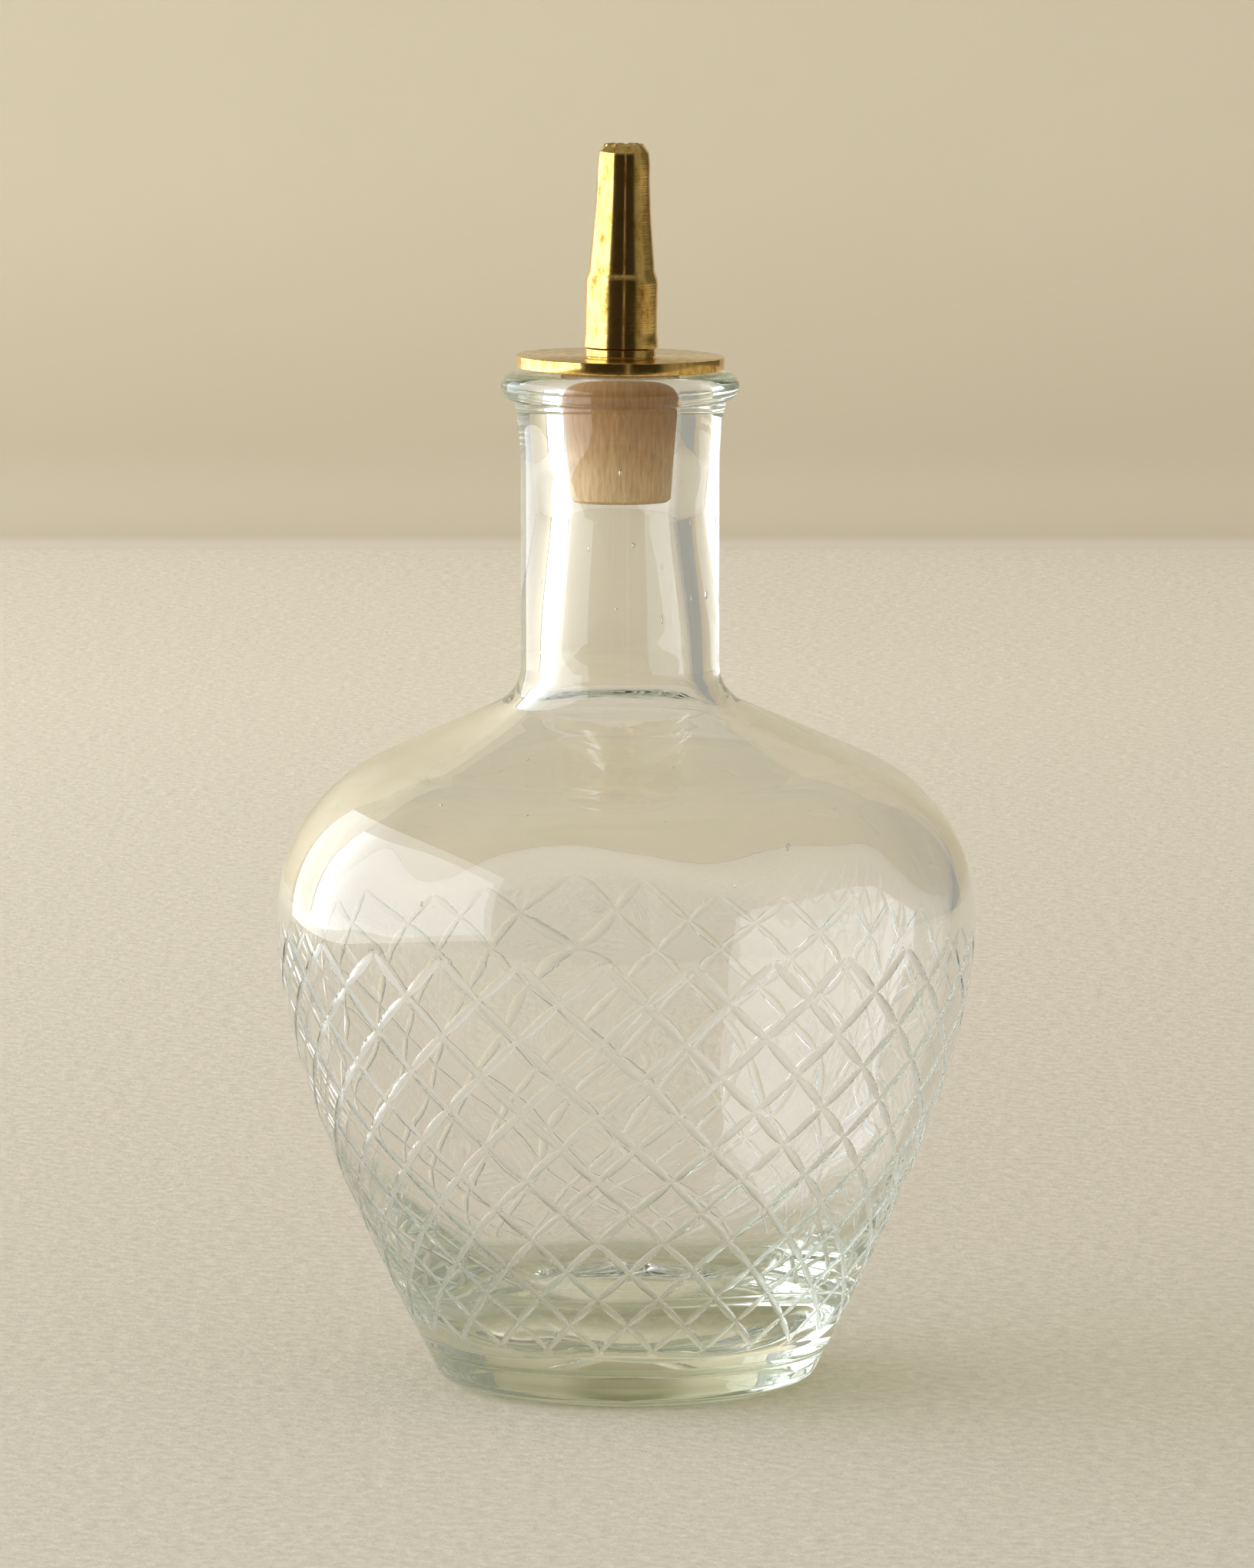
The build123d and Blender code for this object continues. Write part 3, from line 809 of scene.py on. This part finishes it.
def glass_material():
    """Clear glass, faintly green in its depth, with a greenish painted shade on the side of its thick foot,
    ground in the cuts.

    It lets lamps through to the floor.
    """
    material, tree, shader = new_material("clear_glass")
    links = tree.links
    shader.inputs["IOR"].default_value = 1.5
    # Painted shade: the outer side of the foot, low down, gets a darker greenish colour
    shaded_foot = blend(tree, FOOT_PAINTED_SHADE, WHITE, height_share(tree, *FOOT_SHADE_HEIGHTS))
    out = mapped(tree, distance_out(tree), *FOOT_SHADE_RADII, kind="SMOOTHSTEP")
    links.new(blend(tree, WHITE, shaded_foot, out), shader.inputs["Base Color"])
    ground = add_node(tree, "ShaderNodeAttribute", attribute_name=GROUND).outputs["Fac"]
    by_cut = (("Roughness", 0, GROUND_ROUGHNESS), ("Transmission Weight", 1, GROUND_CLEARNESS))
    for socket, smooth, cut in by_cut:
        links.new(mapped(tree, ground, 0, FULLY_GROUND, smooth, cut), shader.inputs[socket])
    clear = add_node(tree, "ShaderNodeBsdfTransparent")
    shade = blend(tree, BASE_SHADE, SHADE, height_share(tree, *BASE_SHADE_HEIGHTS))
    links.new(shade, clear.inputs["Color"])
    path = add_node(tree, "ShaderNodeLightPath")
    to_floor = combined(tree, "MAXIMUM", path.outputs["Is Shadow Ray"], path.outputs["Is Diffuse Ray"])
    mixed_shader(tree, to_floor, shader, clear)
    depth = add_node(tree, "ShaderNodeVolumeAbsorption", in_Color=TINT, in_Density=TINT_DENSITY)
    links.new(depth.outputs[0], tree.nodes["Material Output"].inputs["Volume"])
    return material


def noise_at(tree, scale, detail, roughness):
    """A noise of a given scale on each axis, per metre, in the piece's own place."""
    place = add_node(tree, "ShaderNodeTexCoord")
    stretch = add_node(tree, "ShaderNodeMapping", in_Scale=scale)
    grain = add_node(tree, "ShaderNodeTexNoise", in_Scale=1.0, in_Detail=detail, in_Roughness=roughness)
    tree.links.new(place.outputs["Object"], stretch.inputs["Vector"])
    tree.links.new(stretch.outputs[0], grain.inputs["Vector"])
    return grain.outputs[0]


def ramp_between(tree, value, stops):
    """Colours along a value, from (place, colour) pairs."""
    colours = add_node(tree, "ShaderNodeValToRGB")
    ramp = colours.color_ramp
    for place, colour in stops:
        ramp.elements.new(place).color = colour
    ramp.elements.remove(ramp.elements[0])
    ramp.elements.remove(ramp.elements[-1])
    tree.links.new(value, colours.inputs[0])
    return colours.outputs[0]


def bumped(tree, shader, heights, strength, distance):
    """Gives a shader a bump from a value."""
    bump = add_node(tree, "ShaderNodeBump", in_Strength=strength, in_Distance=distance)
    tree.links.new(heights, bump.inputs["Height"])
    tree.links.new(bump.outputs[0], shader.inputs["Normal"])


def brass_material(name, mark_scale, mark_strength):
    """Old polished brass: turning marks round the axis, darker stains and a little dullness in them."""
    material, tree, shader = new_material(name)
    shader.inputs["Metallic"].default_value = 1
    marks = noise_at(tree, mark_scale, detail=3.0, roughness=0.6)
    bumped(tree, shader, marks, mark_strength, distance=0.00002)
    stains = noise_at(tree, STAIN_SCALE, detail=5.0, roughness=0.65)
    tree.links.new(ramp_between(tree, stains, BRASS), shader.inputs["Base Color"])
    tree.links.new(mapped(tree, stains, *STAIN_RANGE, *BRASS_ROUGHNESS), shader.inputs["Roughness"])
    return material


def cork_material():
    """Stopper with a fine upright grain, darker higher up, and a slight roughness."""
    material, tree, shader = new_material("cork_grain")
    grain = noise_at(tree, CORK_SCALE, detail=5.0, roughness=0.6)
    low, high = [
        ramp_between(tree, grain, zip(GRAIN_STOPS, (linear(*dark), linear(*light))))
        for dark, light in (CORK_LOW, CORK_HIGH)
    ]
    colour = blend(tree, low, high, height_share(tree, *CORK_TONE_HEIGHTS))
    tree.links.new(colour, shader.inputs["Base Color"])
    bumped(tree, shader, grain, strength=0.5, distance=0.00008)
    shader.inputs["Roughness"].default_value = 0.75
    return material


def pale_material(name, near, far, grain_settings):
    """A matt pale surface, mottled, from one colour near the bottle to another away; its back is clear."""
    scale, height, mottling = grain_settings
    material, tree, shader = new_material(name)
    grain = noise_at(tree, (scale,) * 3, detail=5.0, roughness=0.7)
    darker, lighter = (1 - mottling,) * 3 + (1,), (1 + mottling,) * 3 + (1,)
    mottle = ramp_between(tree, grain, zip(GRAIN_STOPS, (darker, lighter)))
    # Painted light on the paper: its far colour is lighter, to make up for the lamps' falloff
    plain = blend(tree, linear(*near), linear(*far), mapped(tree, distance_out(tree), PALE_NEAR, PALE_FAR))
    colour = add_node(tree, "ShaderNodeMix", data_type="RGBA", blend_type="MULTIPLY", in_Factor=1.0)
    tree.links.new(plain, colour.inputs["A"])
    tree.links.new(mottle, colour.inputs["B"])
    tree.links.new(colour.outputs["Result"], shader.inputs["Base Color"])
    bumped(tree, shader, grain, strength=0.4, distance=height)
    shader.inputs["Roughness"].default_value = 1
    shader.inputs["Specular IOR Level"].default_value = 0
    behind = add_node(tree, "ShaderNodeNewGeometry").outputs["Backfacing"]
    mixed_shader(tree, behind, shader, add_node(tree, "ShaderNodeBsdfTransparent"))
    return material


def soft_foot(material, foot, low):
    """Shades a wall's lower part, and lets its colour run out into the floor's at its foot."""
    tree = material.node_tree
    colour = tree.nodes["Principled BSDF"].inputs["Base Color"]
    above = colour.links[0].from_socket
    shaded = blend(tree, linear(*low), above, height_share(tree, 0, WALL_SHADE_TOP))
    tree.links.new(blend(tree, linear(*foot), shaded, height_share(tree, 0, FOOT_BLEND)), colour)


def dim_above(material, low, high):
    """Makes the middle of a wall dimmer above the frame, where only the glass and the brass see it."""
    tree = material.node_tree
    aside = combined(tree, "ABSOLUTE", place_part(tree, "X"), 0)
    middle = mapped(tree, aside, *DIM_ASIDE, first=1, last=0, kind="SMOOTHSTEP")
    share = combined(tree, "MULTIPLY", middle, height_share(tree, *DIM_HEIGHTS))
    colour = blend(tree, linear(*low), linear(*high), share)
    tree.links.new(colour, tree.nodes["Principled BSDF"].inputs["Base Color"])


def gather_light(material, colour):
    """Brightens the paper under the foot, where the thick glass gathers light that the render leaves out."""
    tree = material.node_tree
    shader = tree.nodes["Principled BSDF"]
    glow = mapped(tree, distance_out(tree), *GATHERED_RADII, GATHERED_LIGHT, 0, kind="SMOOTHSTEP")
    tree.links.new(glow, shader.inputs["Emission Strength"])
    shader.inputs["Emission Color"].default_value = linear(*colour)


def stage_sheet(name, width, profile, material, only_seen=False):
    """A sheet of the stage, as wide as said, along a profile of (y, z) places in metres."""
    x = width / 2
    points = [(side * x, y, z) for y, z in profile for side in (-1, 1)]
    faces = [(2 * i, 2 * i + 1, 2 * i + 3, 2 * i + 2) for i in range(len(profile) - 1)]
    mesh = bpy.data.meshes.new(name)
    mesh.from_pydata(points, [], faces)
    mesh.polygons.foreach_set("use_smooth", [True] * len(faces))
    thing = bpy.data.objects.new(name, mesh)
    bpy.context.scene.collection.objects.link(thing)
    mesh.materials.append(material)
    if only_seen:
        thing.visible_transmission = False
        thing.visible_glossy = False
    return thing


def make_stage():
    """A pale paper floor, and a pale wall that glass and metal see only as wide as a real backdrop."""
    paper = pale_material("floor_paper", PAPER_NEAR, PAPER_FAR_PAINTED_LIGHT, PAPER_GRAIN)
    paint = pale_material("wall_paint", WALL_PAINT, WALL_PAINT, WALL_GRAIN)
    dimmed = pale_material("wall_dimmed", WALL_PAINT, WALL_PAINT, WALL_GRAIN)
    gather_light(paper, PAPER_NEAR)
    soft_foot(paint, WALL_FOOT, WALL_LOW)
    dim_above(dimmed, WALL_PAINT, WALL_DIMMED)
    far = BACK_Y - COVE
    turns = [math.pi / 2 * i / COVE_STEPS for i in range(COVE_STEPS + 1)]
    cove = [(far + COVE * math.sin(turn), COVE * (1 - math.cos(turn))) for turn in turns]
    wall = [(BACK_Y, COVE * 2), (BACK_Y, STAGE_HEIGHT)]
    stage_sheet("floor", STAGE_WIDTH, [(FRONT_Y, 0), (far, 0)], paper)
    stage_sheet("floor_in_front", STAGE_WIDTH, [(STAGE_FRONT_Y, 0), (FRONT_Y, 0)], paper, only_seen=True)
    stage_sheet("backdrop", STAGE_WIDTH, cove + wall, paint, only_seen=True)
    seen = stage_sheet("backdrop_seen", SEEN_WIDTH, [(far, SEEN_GAP), (far, SEEN_HEIGHT)], dimmed)
    seen.visible_camera = False
    seen.visible_diffuse = False
    seen.visible_shadow = False


def area_lamp(name, place, size, strength, tilt=0):
    """A rectangular lamp that faces right; strength is the brightness of its face, where 1 is white."""
    width, height = size
    lamp = bpy.data.lights.new(name, "AREA")
    lamp.shape = "RECTANGLE"
    lamp.size, lamp.size_y = size
    lamp.energy = strength * math.pi * width * height
    lamp.color = LAMP_COLOUR
    thing = bpy.data.objects.new(name, lamp)
    bpy.context.scene.collection.objects.link(thing)
    thing.location = place
    thing.rotation_euler = (math.pi / 2, tilt, -math.pi / 2)
    return thing


def room_colour(tree):
    """The dim room by direction, dark where the camera stands, and the ceiling's share there."""
    front = combined(tree, "MULTIPLY", place_part(tree, "Y", "Generated"), -1)
    turn = combined(tree, "ARCTAN2", place_part(tree, "X", "Generated"), front)
    stops = [(0.5 + degrees / 360, colour + (1,)) for degrees, colour in ROOM]
    around = ramp_between(tree, mapped(tree, turn, -math.pi, math.pi), stops)
    return around, mapped(tree, place_part(tree, "Z", "Generated"), *CEILING_RISE)


def make_light():
    """A large soft lamp on the left that lights matt surfaces, its glare in glass and brass, a dim room."""
    lamp = area_lamp("lamp_left", LAMP_PLACE, LAMP_SIZE, LAMP)
    lamp.visible_glossy = False
    lamp.visible_transmission = False
    glare = area_lamp("lamp_left_glare", GLARE_PLACE, GLARE_SIZE, GLARE, GLARE_TILT)
    glare.visible_diffuse = False
    world = bpy.data.worlds.new("room")
    bpy.context.scene.world = world
    world.use_nodes = True
    tree = world.node_tree
    path = add_node(tree, "ShaderNodeLightPath")
    around, rise = room_colour(tree)
    colour = blend(tree, AMBIENT, blend(tree, around, CEILING, rise), path.outputs["Is Glossy Ray"])
    through = blend(tree, around, THROUGH_GLASS, THROUGH_GLASS_SHARE)
    through = blend(tree, through, CEILING_THROUGH_GLASS, rise)
    colour = blend(tree, colour, through, path.outputs["Is Transmission Ray"])
    colour = blend(tree, colour, linear(*BEYOND_WALL), path.outputs["Is Camera Ray"])
    tree.links.new(colour, tree.nodes["Background"].inputs["Color"])


def make_camera():
    """The camera of the photograph: a long lens a little above the bottle."""
    focal_pixels, frame_height, sensor = 14000.0, 2040.0, 36.0
    pitch = math.radians(6.8)
    distance, look_z, shift_x = 1.2939, 0.0727, 0.00083
    camera = bpy.data.cameras.new("camera")
    camera.sensor_fit = "VERTICAL"
    camera.sensor_height = camera.sensor_width = sensor
    camera.lens = sensor * focal_pixels / frame_height
    camera.clip_start, camera.clip_end = 0.05, 20
    thing = bpy.data.objects.new("camera", camera)
    bpy.context.scene.collection.objects.link(thing)
    thing.location = (shift_x, -distance * math.cos(pitch), look_z + distance * math.sin(pitch))
    thing.rotation_euler = (math.pi / 2 - pitch, 0, 0)
    bpy.context.scene.camera = thing


def dress(thing, material):
    """Gives a piece its material."""
    thing.data.materials.clear()
    thing.data.materials.append(material)


def stand_in(thing, node, body):
    """Puts a piece where a node of the CAD stands, on its body."""
    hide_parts(node)
    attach(thing, body)


glass = make_glass()
dress(glass, glass_material())
stand_in(glass, "bottle", "bottle")

turned = brass_material("brass_turned", TURNING_SCALE, mark_strength=0.8)
polished = brass_material("brass_polished", POLISH_SCALE, mark_strength=0.3)
dress(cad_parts["stopper"], cork_material())
dress(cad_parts["stem_tube"], turned)
flange = make_flange()
dress(flange, polished)
stand_in(flange, "flange_plate", "dasher")
spout = make_spout()
dress(spout, turned)
stand_in(spout, "spout", "spout")

make_stage()
make_light()
make_camera()

# Light turns back many times inside thick cut glass before it comes out
bpy.context.scene.cycles.max_bounces = LIGHT_TURNS
bpy.context.scene.cycles.transmission_bounces = LIGHT_TURNS
bpy.context.scene.cycles.glossy_bounces = LIGHT_TURNS
bpy.context.scene.view_settings.view_transform = "Standard"
